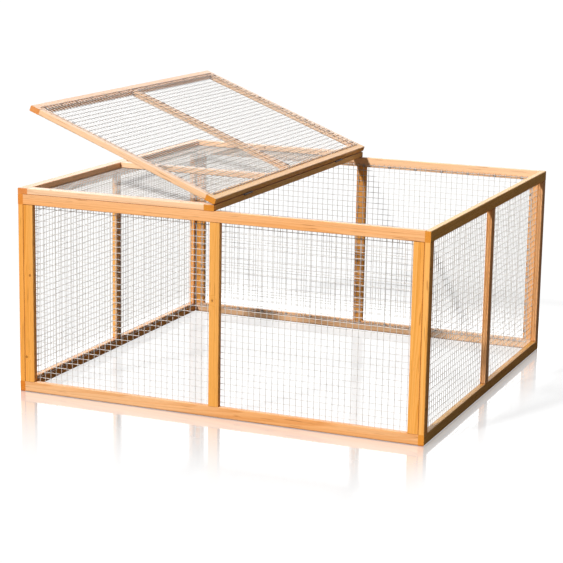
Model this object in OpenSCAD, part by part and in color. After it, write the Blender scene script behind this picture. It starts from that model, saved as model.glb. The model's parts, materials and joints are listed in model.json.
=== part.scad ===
// Outdoor run for small pets, standing open-bottomed on the ground: four timber
// frames with welded wire mesh stapled inside, a fixed mesh roof over the left
// half, and a mesh lid over the right half that is hinged to the roof's edge.
// The lid is drawn thrown open, folded back over the roof.
//
// X runs along the front from left to right, Y from front to back, Z up. The
// origin is on the ground in the middle of the run.
//
// Every frame is one "panel": two long bars, three cross bars dowelled between
// them, and a mesh on its inner face. A panel is drawn standing, in its own
// frame: U (X) along the long bars, centred; V (Z) across them from 0; and Y
// from the outer face at 0 to the inner face at bar_t. Placing modules then
// stand it up as a wall or lay it down as the roof or the lid.

/* [Run] */
// Length of the run along the front
run_l = 1040; // [700:10:1400]
// Depth of the run from front to back
run_w = 980; // [600:10:1300]
// Height of the walls
wall_h = 490; // [300:10:700]

/* [Timber] */
// Width of a bar's broad face
bar_w = 26; // [24:1:40]
// Thickness of a bar
bar_t = 14; // [13:0.5:22]
// Chamfer along a bar's long edges
bar_edge = 1.2; // [0.4:0.1:1.5]

/* [Dowels] */
// Diameter of the dowels that join the bars
dowel_d = 6; // [4:0.5:7]
// Length of a dowel
dowel_l = 28; // [20:1:32]
// Spare depth of a dowel hole at each end
dowel_spare = 0.5; // [0.3:0.1:1.5]

/* [Wire mesh] */
// Distance from one wire to the next
mesh_pitch = 15; // [10:1:25]
// Thickness of a wire
wire_t = 1.3; // [0.8:0.1:1.6]
// How far a wall's mesh laps onto the bars around its openings
mesh_lap = 10; // [8:0.5:12]
// How far the roof's and the lid's mesh stays inside the walls
mesh_clear = 2; // [1:0.5:4]
// How deep the edge wires are pressed into the wires they cross
weld_sink = 0.2; // [0.1:0.05:0.3]
// Hairline between crossing wires away from the edge wires
weld_line = 0.02; // [0.01:0.01:0.04]

/* [Staples] */
// Distance from one staple to the next
staple_pitch = 75; // [45:15:150]
// Outer length of a staple's crown
staple_crown = 8; // [6:0.5:10]
// Width of the flat staple wire
staple_w = 1.2; // [0.9:0.1:1.6]
// Thickness of the staple wire
staple_t = 0.6; // [0.5:0.1:0.8]
// How deep a staple's legs go into the timber
staple_leg = 5; // [4:0.5:5.5]

/* [Hinges] */
// Length of a hinge along its pin
hinge_l = 45; // [36:1:70]
// Distance from the pin's axis to a leaf's outer edge
leaf_w = 18; // [16:0.5:22]
// Thickness of a leaf
leaf_t = 0.8; // [0.6:0.1:1.2]
// Corner radius of a leaf
leaf_r = 2; // [1:0.5:4]
// Diameter of the hinge pin
pin_d = 2; // [1.6:0.1:3]
// Number of knuckles along the pin, shared between the two leaves
knuckles = 5; // [3:2:7]
// Distance from a hinge's middle to the front or back of the run
hinge_inset = 190; // [80:5:240]

/* [Hinge screws] */
// Diameter of a hinge screw
hinge_screw_d = 2.8; // [2.4:0.1:3.5]
// Length of a hinge screw under its head
hinge_screw_l = 11; // [9:0.5:12]
// Diameter of a hinge screw's domed head
hinge_head_d = 5.4; // [4.8:0.1:6.4]
// Height of a hinge screw's domed head
hinge_head_h = 1.8; // [1.4:0.1:2.2]
// Distance from the pin's axis to the row of hinge screws
screw_row = 12.4; // [10.5:0.1:14]
// Distance between the two screws of a leaf
screw_spread = 28; // [20:1:30]

/* [Frame screws] */
// Diameter of the countersunk screws that join the panels
frame_screw_d = 3.5; // [3:0.1:4]
// Diameter of their countersunk heads
frame_head_d = 7; // [6:0.1:8]
// Length of the screws through the wall corners
corner_screw_l = 35; // [28:1:38]
// Length of the screws that hold the roof down
roof_screw_l = 30; // [24:1:34]
// Height of a corner screw above the ground, or below the top of the wall
corner_screw_inset = 85; // [50:5:120]
// Distance from a roof screw to the end of its bar
roof_screw_inset = 60; // [40:5:120]

/* [Fits] */
// Play around a dowel or a screw in its hole, on the radius
hole_fit = 0.05; // [0.03:0.01:0.1]
// Play around the hinge pin in its knuckles, on the radius
pin_fit = 0.05; // [0.03:0.01:0.1]
// Play between knuckles, and between a knuckle and what it turns past
knuckle_play = 0.25; // [0.2:0.05:0.4]
// Gap left between facing screw heads when the lid is thrown open
stop_gap = 0.2; // [0.1:0.05:0.4]

/* [Hidden] */
FINE = 32;   // facets of small round parts
SLIVER = 1;  // how far a cutter stands past the face that it cuts

wall_l = run_l - 2 * bar_t;  // front and back walls stand between the side walls
wall_mid = bar_t / 2;        // middle of a wall's thickness, from its outer face
deck_z = wall_h + bar_t;     // top of the roof and of the closed lid

// The knuckles hang in the slot between the roof and the closed lid, with the
// pin's axis in the middle of the leaves' thickness.
knuckle_r = pin_d / 2 + pin_fit + leaf_t;
slot_half = knuckle_r + knuckle_play;
cover_w = run_l / 2 - slot_half;
axis_z = deck_z + leaf_t / 2;
knuckle_l = hinge_l / knuckles;
plate_from = slot_half + leaf_t / 2;  // inner edge of a leaf's plate

// The lid stops when the domed heads of the facing hinge screws meet.
open_angle = 180 - 2 * atan((hinge_head_h + leaf_t / 2 + stop_gap / 2) / screw_row);

// The covers' mesh hangs down between the walls, so it laps onto their bars only
// as far as the walls' thickness lets it.
cover_lap = bar_w - bar_t - mesh_clear;

staple_every = max(1, round(staple_pitch / mesh_pitch));  // in mesh cells
staple_stance = (staple_crown - staple_t) / 2;  // from a staple's middle to a leg's

// ---- Sizes that follow a panel's length, its height and its mesh's lap ----

// Reach of a mesh along the side of a panel that measures `span`, laps included
function mesh_reach(span, lap) = span - 2 * bar_w + 2 * lap;

// Places of the wires of a mesh that spans `reach`, centred on 0
function wire_places(reach) =
    let (cells = floor((reach - wire_t) / mesh_pitch))
    [for (i = [0 : cells]) (i - cells / 2) * mesh_pitch];

// Every staple_every-th place of a list, spread evenly and off the list's ends
function stapled(places) =
    let (run = floor((len(places) - 3) / staple_every) * staple_every,
         start = floor((len(places) - 1 - run) / 2))
    [for (i = [start : staple_every : start + run]) places[i]];

// Free middle of the lap between its edge wire and the wider side of the bar's
// edge, as a distance from the middle of the panel
function lap_middle(span, lap) =
    let (cut = mesh_reach(span, lap) / 2, open = cut - lap, wire = max(wire_places(2 * cut)))
    wire - open > cut - wire ? (wire + open) / 2 : (wire + cut) / 2;

// Middle of the widest stretch of the mid bar between its dowels, the wires that
// lie on it and its edge
function mid_free(span, lap) =
    let (wire = min([for (w = wire_places(mesh_reach(span, lap))) if (w > 0) w]),
         dowel = dowel_d / 2 + hole_fit, edge = bar_w / 2 - bar_edge,
         before = min(wire - wire_t / 2, edge), after = wire + wire_t / 2)
    before - dowel > edge - after ? (dowel + before) / 2 : (after + edge) / 2;

// Whether both legs of a staple at u pass beside the mid bar's dowel
function beside_dowel(u) =
    abs(abs(u) - staple_stance) > dowel_d / 2 + staple_t / 2 + 2 * hole_fit;

// Staples along the long bars straddle the wires that lie on the timber; each is
// [u, v] with the panel's V measured from 0
function long_staples(length, height, lap) = [
    for (u = stapled(wire_places(mesh_reach(length, lap))), side = [-1, 1])
        if (beside_dowel(u)) [u, height / 2 + side * lap_middle(height, lap)]
];

// Staples along the cross bars straddle the outer layer of wires
function cross_staples(length, height, lap) =
    let (end = lap_middle(length, lap))
    [for (v = stapled(wire_places(mesh_reach(height, lap))), u = [-end, mid_free(length, lap), end])
        [u, height / 2 + v]];

// Middles of the three cross bars along U
function cross_places(length) = [-length / 2 + bar_w / 2, 0, length / 2 - bar_w / 2];

// ---- Shapes used by every panel ----

// A bar along +Z from 0, its broad face bar_w along X and its thickness along Y
module bar(length) {
    linear_extrude(length)
        polygon([
            [-bar_w / 2 + bar_edge, 0], [bar_w / 2 - bar_edge, 0],
            [bar_w / 2, bar_edge], [bar_w / 2, bar_t - bar_edge],
            [bar_w / 2 - bar_edge, bar_t], [-bar_w / 2 + bar_edge, bar_t],
            [-bar_w / 2, bar_t - bar_edge], [-bar_w / 2, bar_edge]
        ]);
}

// A hole for a dowel, centred on the joint at the origin and running along Z
module dowel_hole() {
    cylinder(h = dowel_l + 2 * dowel_spare, r = dowel_d / 2 + hole_fit, center = true, $fn = FINE);
}

// All the dowel holes of a panel
module dowel_holes(length, height) {
    for (u = cross_places(length), v = [bar_w, height - bar_w])
        translate([u, wall_mid, v]) dowel_hole();
}

// The legs of staples at the given places, `turn` 0 with the crown along U and
// 90 with it along V. `play` widens them into the slots that they are driven in.
module staple_legs(places, turn, play) {
    for (p = places, side = [-1, 1])
        translate([p[0], bar_t, p[1]]) rotate([0, turn, 0])
            translate([side * staple_stance, (play - staple_leg) / 2, 0])
                cube([staple_t + 2 * play, staple_leg + 3 * play, staple_w + 2 * play], center = true);
}

// One staple over a wire whose outer side is `lift` from the timber
module staple(lift) {
    reach = staple_leg + lift + staple_t;
    translate([-staple_crown / 2, bar_t - staple_leg, -staple_w / 2])
        linear_extrude(staple_w)
            polygon([
                [0, 0], [staple_t, 0], [staple_t, reach - staple_t],
                [staple_crown - staple_t, reach - staple_t], [staple_crown - staple_t, 0],
                [staple_crown, 0], [staple_crown, reach], [0, reach]
            ]);
}

// ---- The pieces of a panel, in the panel's own frame ----

// A long bar; `top` is 0 for the one at V = 0 and 1 for the one at V = height
module long_bar(length, height, lap, top) {
    at = top == 0 ? bar_w / 2 : height - bar_w / 2;
    inside = [for (p = long_staples(length, height, lap)) if (abs(p[1] - at) < bar_w / 2) p];
    difference() {
        translate([-length / 2, 0, at]) rotate([0, 90, 0]) bar(length);
        dowel_holes(length, height);
        staple_legs(inside, 0, hole_fit);
    }
}

// A cross bar; `place` is 0, 1 or 2 from the panel's -U end to its +U end
module cross_bar(length, height, lap, place) {
    at = cross_places(length)[place];
    inside = [for (p = cross_staples(length, height, lap)) if (abs(p[0] - at) < bar_w / 2) p];
    difference() {
        translate([at, 0, bar_w]) bar(height - 2 * bar_w);
        dowel_holes(length, height);
        staple_legs(inside, 90, hole_fit);
    }
}

// Welded mesh cut from a roll: wires along V lie on the timber and wires along U
// cross over them. The first and the last wire each way are pressed into all the
// wires that they cross, which makes the sheet one piece.
module mesh(length, height, lap) {
    wide = mesh_reach(length, lap);
    high = mesh_reach(height, lap);
    us = wire_places(wide);
    vs = wire_places(high);
    over = bar_t + wire_t + weld_line;
    press = weld_line + weld_sink;
    for (i = [0 : len(us) - 1]) {
        edge = i == 0 || i == len(us) - 1 ? press : 0;
        translate([us[i] - wire_t / 2, bar_t, (height - high) / 2])
            cube([wire_t, wire_t + edge, high]);
    }
    for (i = [0 : len(vs) - 1]) {
        edge = i == 0 || i == len(vs) - 1 ? press : 0;
        translate([-wide / 2, over - edge, height / 2 + vs[i] - wire_t / 2])
            cube([wide, wire_t + edge, wire_t]);
    }
}

// The dowels of a panel, with a small chamfer at each end
module dowels(length, height) {
    lead = dowel_d / 8;
    for (u = cross_places(length), v = [bar_w, height - bar_w])
        translate([u, wall_mid, v - dowel_l / 2])
            rotate_extrude($fn = FINE)
                polygon([
                    [0, 0], [dowel_d / 2 - lead, 0], [dowel_d / 2, lead],
                    [dowel_d / 2, dowel_l - lead], [dowel_d / 2 - lead, dowel_l], [0, dowel_l]
                ]);
}

// The staples of a panel
module staples(length, height, lap) {
    for (p = long_staples(length, height, lap))
        translate([p[0], 0, p[1]]) staple(wire_t);
    for (p = cross_staples(length, height, lap))
        translate([p[0], 0, p[1]]) rotate([0, 90, 0]) staple(2 * wire_t + weld_line);
}

// One piece of a panel, named by its kind
module piece(kind, length, height, lap) {
    if (kind == "low") long_bar(length, height, lap, 0);
    if (kind == "high") long_bar(length, height, lap, 1);
    if (kind == "minus") cross_bar(length, height, lap, 0);
    if (kind == "mid") cross_bar(length, height, lap, 1);
    if (kind == "plus") cross_bar(length, height, lap, 2);
    if (kind == "mesh") mesh(length, height, lap);
    if (kind == "dowels") dowels(length, height);
    if (kind == "staples") staples(length, height, lap);
}

// Colours of a panel's pieces; `upright` tints the cross bars of a standing panel
module tint(kind, upright) {
    crossing = kind == "minus" || kind == "mid" || kind == "plus";
    if (kind == "mesh") color([0.78, 0.79, 0.80]) children();
    else if (kind == "staples") color([0.70, 0.71, 0.72]) children();
    else if (kind == "dowels") color([0.87, 0.74, 0.53]) children();
    else if (crossing && upright) color([0.95, 0.67, 0.36]) children();
    else color([0.93, 0.64, 0.33]) children();
}

// ---- Placing the panels ----

module on_front() { translate([0, -run_w / 2, 0]) children(); }
module on_back() { translate([0, run_w / 2, 0]) rotate([0, 0, 180]) children(); }
module on_left() { translate([-run_l / 2, 0, 0]) rotate([0, 0, -90]) children(); }
module on_right() { translate([run_l / 2, 0, 0]) rotate([0, 0, 90]) children(); }

// Laid flat with the outer face up, V running from the left edge to the hinge
module on_roof() { translate([-run_l / 2, 0, deck_z]) rotate([-90, 0, -90]) children(); }

// The closed lid, laid flat with V running from its free edge to the hinge
module lid_closed() { translate([run_l / 2, 0, deck_z]) rotate([-90, 0, 90]) children(); }

// Swings what is drawn in the closed lid's place open about the hinge pins
module swung() {
    translate([0, 0, axis_z]) rotate([0, -open_angle, 0]) translate([0, 0, -axis_z]) children();
}

module front_piece(kind) {
    tint(kind, true) difference() {
        on_front() piece(kind, wall_l, wall_h, mesh_lap);
        if (kind == "minus" || kind == "plus") corner_holes();
        if (kind == "high") roof_holes();
    }
}

module back_piece(kind) {
    tint(kind, true) difference() {
        on_back() piece(kind, wall_l, wall_h, mesh_lap);
        if (kind == "minus" || kind == "plus") corner_holes();
        if (kind == "high") roof_holes();
    }
}

module left_piece(kind) {
    tint(kind, true) difference() {
        on_left() piece(kind, run_w, wall_h, mesh_lap);
        if (kind == "minus" || kind == "plus") corner_holes();
        if (kind == "high") roof_holes();
    }
}

module right_piece(kind) {
    tint(kind, true) difference() {
        on_right() piece(kind, run_w, wall_h, mesh_lap);
        if (kind == "minus" || kind == "plus") corner_holes();
    }
}

module roof_piece(kind) {
    tint(kind, false) difference() {
        on_roof() piece(kind, run_w, cover_w, cover_lap);
        if (kind == "high") hinge_screw_holes(-1);
        if (kind == "low" || kind == "minus" || kind == "plus") roof_holes();
    }
}

module lid_piece(kind) {
    tint(kind, false) swung() difference() {
        lid_closed() piece(kind, run_w, cover_w, cover_lap);
        if (kind == "high") hinge_screw_holes(1);
    }
}

// ---- Hinges, drawn with the lid closed ----

hinge_places = [-run_w / 2 + hinge_inset, run_w / 2 - hinge_inset];

// Ends of a hinge's n-th knuckle along the pin, from the hinge's front end
function knuckle_from(n) = n * knuckle_l + (n == 0 ? 0 : knuckle_play / 2);
function knuckle_to(n) = (n + 1) * knuckle_l - (n == knuckles - 1 ? 0 : knuckle_play / 2);

// Outline of a leaf's plate, with rounded outer corners
module plate() {
    translate([plate_from, 0]) square([leaf_w - leaf_r - plate_from, hinge_l]);
    translate([plate_from, leaf_r]) square([leaf_w - plate_from, hinge_l - 2 * leaf_r]);
    for (y = [leaf_r, hinge_l - leaf_r])
        translate([leaf_w - leaf_r, y]) circle(r = leaf_r, $fn = FINE);
}

// A leaf with its knuckles. side is -1 for the roof's leaf and 1 for the lid's;
// the roof's leaf has the first, third and fifth knuckle.
module leaf(place, side) {
    first = side < 0 ? 0 : 1;
    translate([0, place - hinge_l / 2, axis_z]) difference() {
        union() {
            translate([0, 0, -leaf_t / 2]) linear_extrude(leaf_t) mirror([side < 0 ? 1 : 0, 0]) plate();
            // Knuckles and the tongues that join them to the plate
            for (n = [first : 2 : knuckles - 1]) {
                from = knuckle_from(n);
                reach = knuckle_to(n) - from;
                translate([0, from, 0]) rotate([-90, 0, 0]) cylinder(h = reach, r = knuckle_r, $fn = FINE);
                translate([side > 0 ? 0 : -plate_from - leaf_t, from, -leaf_t / 2])
                    cube([plate_from + leaf_t, reach, leaf_t]);
            }
        }
        translate([0, -SLIVER, 0]) rotate([-90, 0, 0])
            cylinder(h = hinge_l + 2 * SLIVER, r = pin_d / 2 + pin_fit, $fn = FINE);
        for (y = [-1, 1])
            translate([side * screw_row, hinge_l / 2 + y * screw_spread / 2, -SLIVER])
                cylinder(h = 2 * SLIVER + leaf_t, r = hinge_screw_d / 2 + hole_fit, $fn = FINE);
    }
}

// A pin with a riveted head at each end, just outside the end knuckles
module pin(place) {
    head_r = knuckle_r - leaf_t / 4;
    head_l = leaf_t;
    translate([0, place - hinge_l / 2, axis_z]) rotate([-90, 0, 0]) rotate_extrude($fn = FINE)
        polygon([
            [0, -head_l - pin_fit], [head_r - leaf_t / 2, -head_l - pin_fit],
            [head_r, -head_l / 2 - pin_fit], [head_r, -pin_fit], [pin_d / 2, -pin_fit],
            [pin_d / 2, hinge_l + pin_fit], [head_r, hinge_l + pin_fit],
            [head_r, hinge_l + head_l / 2 + pin_fit],
            [head_r - leaf_t / 2, hinge_l + head_l + pin_fit], [0, hinge_l + head_l + pin_fit]
        ]);
}

// Places every screw of one side's leaves, on top of the leaves
module at_hinge_screws(side) {
    for (place = hinge_places, y = [-1, 1])
        translate([side * screw_row, place + y * screw_spread / 2, deck_z + leaf_t]) children();
}

// Holes in the timber for one side's hinge screws
module hinge_screw_holes(side) {
    at_hinge_screws(side) translate([0, 0, -hinge_screw_l - dowel_spare])
        cylinder(h = hinge_screw_l + dowel_spare, r = hinge_screw_d / 2 + hole_fit, $fn = FINE);
}

// Domed-head screws of one side, pointed, with a cross slot in the head
module hinge_screws(side) {
    tip = hinge_screw_d;
    rim = hinge_head_h / 3;
    slot = hinge_head_d / 8;
    at_hinge_screws(side) difference() {
        rotate_extrude($fn = FINE)
            polygon(concat(
                [[0, -hinge_screw_l], [hinge_screw_d / 2, -hinge_screw_l + tip], [hinge_screw_d / 2, 0],
                 [hinge_head_d / 2, 0], [hinge_head_d / 2, rim]],
                [for (a = [15 : 15 : 90])
                    [hinge_head_d / 2 * cos(a), rim + (hinge_head_h - rim) * sin(a)]]
            ));
        for (turn = [0, 90])
            rotate([0, 0, turn]) translate([0, 0, hinge_head_h])
                cube([hinge_head_d / 2, slot, hinge_head_h], center = true);
    }
}

// ---- Countersunk screws between the panels ----

// A countersunk screw pointing down from 0, with a cross slot in its head
module frame_screw(length) {
    sink = (frame_head_d - frame_screw_d) / 2;
    slot = frame_head_d / 8;
    difference() {
        rotate_extrude($fn = FINE)
            polygon([
                [0, -length], [frame_screw_d / 2, -length + frame_screw_d],
                [frame_screw_d / 2, -sink], [frame_head_d / 2, 0], [0, 0]
            ]);
        for (turn = [0, 90])
            rotate([0, 0, turn]) cube([frame_head_d / 2, slot, sink], center = true);
    }
}

// The hole that such a screw fills
module frame_screw_hole(length) {
    sink = (frame_head_d - frame_screw_d) / 2;
    translate([0, 0, -length - dowel_spare])
        cylinder(h = length + dowel_spare, r = frame_screw_d / 2 + hole_fit, $fn = FINE);
    translate([0, 0, -sink]) cylinder(
        h = sink + hole_fit, r1 = frame_screw_d / 2 + hole_fit,
        r2 = frame_head_d / 2 + 2 * hole_fit, $fn = FINE
    );
}

// Two screws at each corner, through a side wall's stile into the end stile of
// the front or back wall
module at_corner_screws() {
    for (x = [-1, 1], y = [-1, 1], z = [corner_screw_inset, wall_h - corner_screw_inset])
        translate([x * run_l / 2, y * (run_w / 2 - wall_mid), z]) rotate([0, x * 90, 0]) children();
}

// The roof's outer bars are screwed down onto the walls' top rails
module at_roof_screws() {
    near_hinge = -slot_half - bar_w - roof_screw_inset;
    near_edge = -run_l / 2 + bar_w + roof_screw_inset;
    for (x = [near_edge, near_hinge], y = [-1, 1])
        translate([x, y * (run_w / 2 - wall_mid), deck_z]) children();
    for (y = [-1, 1])
        translate([-run_l / 2 + wall_mid, y * run_w / 4, deck_z]) children();
}

module corner_holes() { at_corner_screws() frame_screw_hole(corner_screw_l); }
module roof_holes() { at_roof_screws() frame_screw_hole(roof_screw_l); }

// ---- Hinges and screws as sub-parts ----

STEEL = [0.75, 0.76, 0.78];
YELLOW_ZINC = [0.83, 0.70, 0.38];

module roof_leaf(place) { color(STEEL) leaf(place, -1); }
module lid_leaf(place) { color(STEEL) swung() leaf(place, 1); }
module hinge_pin(place) { color(STEEL) pin(place); }
module roof_hinge_screws() { color(STEEL) hinge_screws(-1); }
module lid_hinge_screws() { color(STEEL) swung() hinge_screws(1); }
module corner_screws() { color(YELLOW_ZINC) at_corner_screws() frame_screw(corner_screw_l); }
module roof_screws() { color(YELLOW_ZINC) at_roof_screws() frame_screw(roof_screw_l); }

front_piece("high");  // front_top_rail
front_piece("low");  // front_bottom_rail
front_piece("minus");  // front_left_stile
front_piece("plus");  // front_right_stile
front_piece("mid");  // front_mid_post
front_piece("mesh");  // front_mesh
front_piece("dowels");  // front_dowels
front_piece("staples");  // front_staples

back_piece("high");  // back_top_rail
back_piece("low");  // back_bottom_rail
back_piece("plus");  // back_left_stile
back_piece("minus");  // back_right_stile
back_piece("mid");  // back_mid_post
back_piece("mesh");  // back_mesh
back_piece("dowels");  // back_dowels
back_piece("staples");  // back_staples

left_piece("high");  // left_top_rail
left_piece("low");  // left_bottom_rail
left_piece("plus");  // left_front_stile
left_piece("minus");  // left_back_stile
left_piece("mid");  // left_mid_post
left_piece("mesh");  // left_mesh
left_piece("dowels");  // left_dowels
left_piece("staples");  // left_staples

right_piece("high");  // right_top_rail
right_piece("low");  // right_bottom_rail
right_piece("minus");  // right_front_stile
right_piece("plus");  // right_back_stile
right_piece("mid");  // right_mid_post
right_piece("mesh");  // right_mesh
right_piece("dowels");  // right_dowels
right_piece("staples");  // right_staples

roof_piece("low");  // roof_outer_rail
roof_piece("high");  // roof_hinge_rail
roof_piece("plus");  // roof_front_rail
roof_piece("minus");  // roof_back_rail
roof_piece("mid");  // roof_mid_rail
roof_piece("mesh");  // roof_mesh
roof_piece("dowels");  // roof_dowels
roof_piece("staples");  // roof_staples

lid_piece("low");  // lid_free_rail
lid_piece("high");  // lid_hinge_rail
lid_piece("minus");  // lid_front_rail
lid_piece("plus");  // lid_back_rail
lid_piece("mid");  // lid_mid_rail
lid_piece("mesh");  // lid_mesh
lid_piece("dowels");  // lid_dowels
lid_piece("staples");  // lid_staples

roof_leaf(hinge_places[0]);  // front_hinge_roof_leaf
lid_leaf(hinge_places[0]);  // front_hinge_lid_leaf
hinge_pin(hinge_places[0]);  // front_hinge_pin
roof_leaf(hinge_places[1]);  // back_hinge_roof_leaf
lid_leaf(hinge_places[1]);  // back_hinge_lid_leaf
hinge_pin(hinge_places[1]);  // back_hinge_pin

roof_hinge_screws();
lid_hinge_screws();
corner_screws();
roof_screws();
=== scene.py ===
"""Looks of an outdoor run for small pets, built around its packed construction.

The frame holds every bar, hinge, dowel and screw at its real size and place.
This script stains the timber, weaves the welded wire and bends the staples
that the plain solids stand for, plates the hardware, and sets up the studio.
"""

import json
import logging
import math
import random
from collections.abc import Callable
from dataclasses import dataclass, field
from enum import Enum
from functools import partial

import bmesh
import bpy
import numpy as np
from bpy.types import Material, Mesh, Node, NodeOutputs, NodeSocket, NodeTree, Object
from mathutils import Euler, Matrix, Vector

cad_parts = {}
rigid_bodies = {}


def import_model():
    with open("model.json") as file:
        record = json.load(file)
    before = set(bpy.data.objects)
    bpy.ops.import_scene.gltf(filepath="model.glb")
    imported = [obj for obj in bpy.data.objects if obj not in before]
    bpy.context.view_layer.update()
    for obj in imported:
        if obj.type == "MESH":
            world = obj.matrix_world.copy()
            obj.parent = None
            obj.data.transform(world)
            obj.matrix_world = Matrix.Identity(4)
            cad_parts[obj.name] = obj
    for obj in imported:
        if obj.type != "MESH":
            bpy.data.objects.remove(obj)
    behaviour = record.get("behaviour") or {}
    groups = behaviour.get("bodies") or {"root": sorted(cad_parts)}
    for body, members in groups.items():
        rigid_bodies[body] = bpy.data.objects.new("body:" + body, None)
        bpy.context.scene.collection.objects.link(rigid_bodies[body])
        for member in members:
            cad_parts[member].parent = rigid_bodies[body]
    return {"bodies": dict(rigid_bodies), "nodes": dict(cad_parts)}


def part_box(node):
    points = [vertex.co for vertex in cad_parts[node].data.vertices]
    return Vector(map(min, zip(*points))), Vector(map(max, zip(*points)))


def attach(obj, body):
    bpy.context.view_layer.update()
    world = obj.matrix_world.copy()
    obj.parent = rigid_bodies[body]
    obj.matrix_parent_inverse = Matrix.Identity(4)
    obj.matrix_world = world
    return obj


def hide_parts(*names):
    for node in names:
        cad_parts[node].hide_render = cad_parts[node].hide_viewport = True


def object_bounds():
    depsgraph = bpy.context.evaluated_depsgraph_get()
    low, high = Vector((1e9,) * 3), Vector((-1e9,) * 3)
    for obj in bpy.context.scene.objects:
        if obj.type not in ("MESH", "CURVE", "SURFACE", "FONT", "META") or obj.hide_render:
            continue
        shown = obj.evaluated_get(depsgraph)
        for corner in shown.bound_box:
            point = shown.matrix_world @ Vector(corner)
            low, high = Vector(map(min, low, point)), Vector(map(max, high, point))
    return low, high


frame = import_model()
CAD_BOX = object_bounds()
MM = 0.001  # metres in a millimetre
WHITE = "#FFFFFF"
NOISE_MEAN = (0.5, 0.5, 0.5)  # what the colour of a noise varies around, by half each way
NOISE_SPAN = 2.0  # brings those halves up to a whole
MATH = "ShaderNodeMath"
VECTOR_MATH = "ShaderNodeVectorMath"
MAP_RANGE = "ShaderNodeMapRange"
Add = Callable[..., Node]  # add_node for one tree

log = logging.getLogger("pet_run")


# ---- Small tools ----


def linear(hex_colour: str) -> tuple[float, float, float, float]:
    """Turns an sRGB colour into the linear one that shaders use.

    Args:
        hex_colour: The colour as "#RRGGBB".

    Returns:
        Red, green, blue and an alpha of 1.
    """
    parts = [int(hex_colour[i:i + 2], 16) / 255 for i in (1, 3, 5)]
    straight = [p / 12.92 if p <= 0.04045 else ((p + 0.055) / 1.055) ** 2.4 for p in parts]
    return (*straight, 1.0)


def add_node(tree: NodeTree, kind: str, inputs: dict | None = None, **settings: object) -> Node:
    """Adds a node with its settings, and sets or links its inputs.

    Args:
        tree: The material, world or geometry tree.
        kind: The node's type name.
        inputs: Values, output sockets, nodes for their first output in use, or a
            list of these for an input that takes several; by identifier or index.
        settings: Properties of the node itself.

    Returns:
        The new node.
    """
    node = tree.nodes.new(kind)
    for name, value in settings.items():
        setattr(node, name, value)
    by_identifier = {socket.identifier: socket for socket in node.inputs}
    for key, value in (inputs or {}).items():
        socket = node.inputs[key] if isinstance(key, int) else by_identifier[key]
        for source in value if isinstance(value, list) else [value]:
            if isinstance(source, Node):
                source = next(output for output in source.outputs if output.enabled)
            if isinstance(source, NodeSocket):
                tree.links.new(source, socket)
            else:
                socket.default_value = source
    return node


def new_material(name: str) -> tuple[Material, Add]:
    """Makes a material without nodes.

    Args:
        name: The material's name.

    Returns:
        The material, and what adds a node to it.
    """
    material = bpy.data.materials.new(name)
    material.use_nodes = True
    material.node_tree.nodes.clear()
    return material, partial(add_node, material.node_tree)


def finish_surface(add: Add, height: Node, relief: tuple[float, float], inputs: dict) -> None:
    """Ends a material: its shader, with a relief of that strength and depth, and the output."""
    bump = add("ShaderNodeBump", {"Height": height, "Strength": relief[0], "Distance": relief[1]})
    add("ShaderNodeOutputMaterial", {0: add("ShaderNodeBsdfPrincipled", {**inputs, "Normal": bump})})


@dataclass(frozen=True)
class Span:
    """What a stretch of a pattern's values is turned into.

    Attributes:
        low: The pattern's value that becomes `first`; it may be the greater one.
        high: The value that becomes `last`.
        first: Share, brightness, roughness or length at one end.
        last: The same at the other end.
    """

    low: float
    high: float
    first: float = 0.0
    last: float = 1.0

    def of(self, pattern: Node | NodeSocket) -> dict:
        """Inputs, by identifier, of a Map Range node that turns the pattern so."""
        ends = {"From Min": self.low, "From Max": self.high, "To Min": self.first, "To Max": self.last}
        return {"Value": pattern, **ends}


def add_object(name: str, data: bpy.types.ID) -> Object:
    """Adds an object to the scene.

    Args:
        name: The object's name.
        data: Its mesh, lamp or camera.

    Returns:
        The new object.
    """
    made = bpy.data.objects.new(name, data)
    bpy.context.scene.collection.objects.link(made)
    return made


def middle(node: str) -> Vector:
    """Middle of a CAD node's box."""
    low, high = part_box(node)
    return (low + high) / 2


def dress(node: str, material: Material) -> None:
    """Gives a CAD node one material all over."""
    for slot in frame["nodes"][node].material_slots:
        slot.material = material


# ---- Timber ----


@dataclass(frozen=True)
class Stain:
    """Two neighbouring tones of one stain, which a bar wanders between.

    Attributes:
        early: Colours of the soft earlywood, where the stain took well and
            where it took less.
        late: Colours of the dense latewood at the same places.
    """

    early: tuple[str, str]
    late: tuple[str, str]


class StainTone(Enum):
    """Stains seen on the run.

    Apricot is on the front wall's rails, the outer bars of the roof and the lid
    and two of the right wall's posts. Honey is on the left wall and on the other
    upright bars. Gold is on the right wall's rails and on both hinge rails, and
    straw on the cross bars of the roof and the lid and on the back wall's rails.
    The paler straw on top is partly a painted highlight for the lit tops, and the
    deeper gold on the right wall's rails is partly painted shade for that side.
    """

    APRICOT = Stain(("#F6B373", "#F9C491"), ("#EBA15E", "#EFB37B"))
    HONEY = Stain(("#F6AA4F", "#F8B663"), ("#E8973A", "#ECA34A"))
    GOLD = Stain(("#F1AE49", "#F4BA5C"), ("#E29A35", "#E7A744"))
    STRAW = Stain(("#F7C593", "#FAD1AA"), ("#EEB57E", "#F2C297"))


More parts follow.
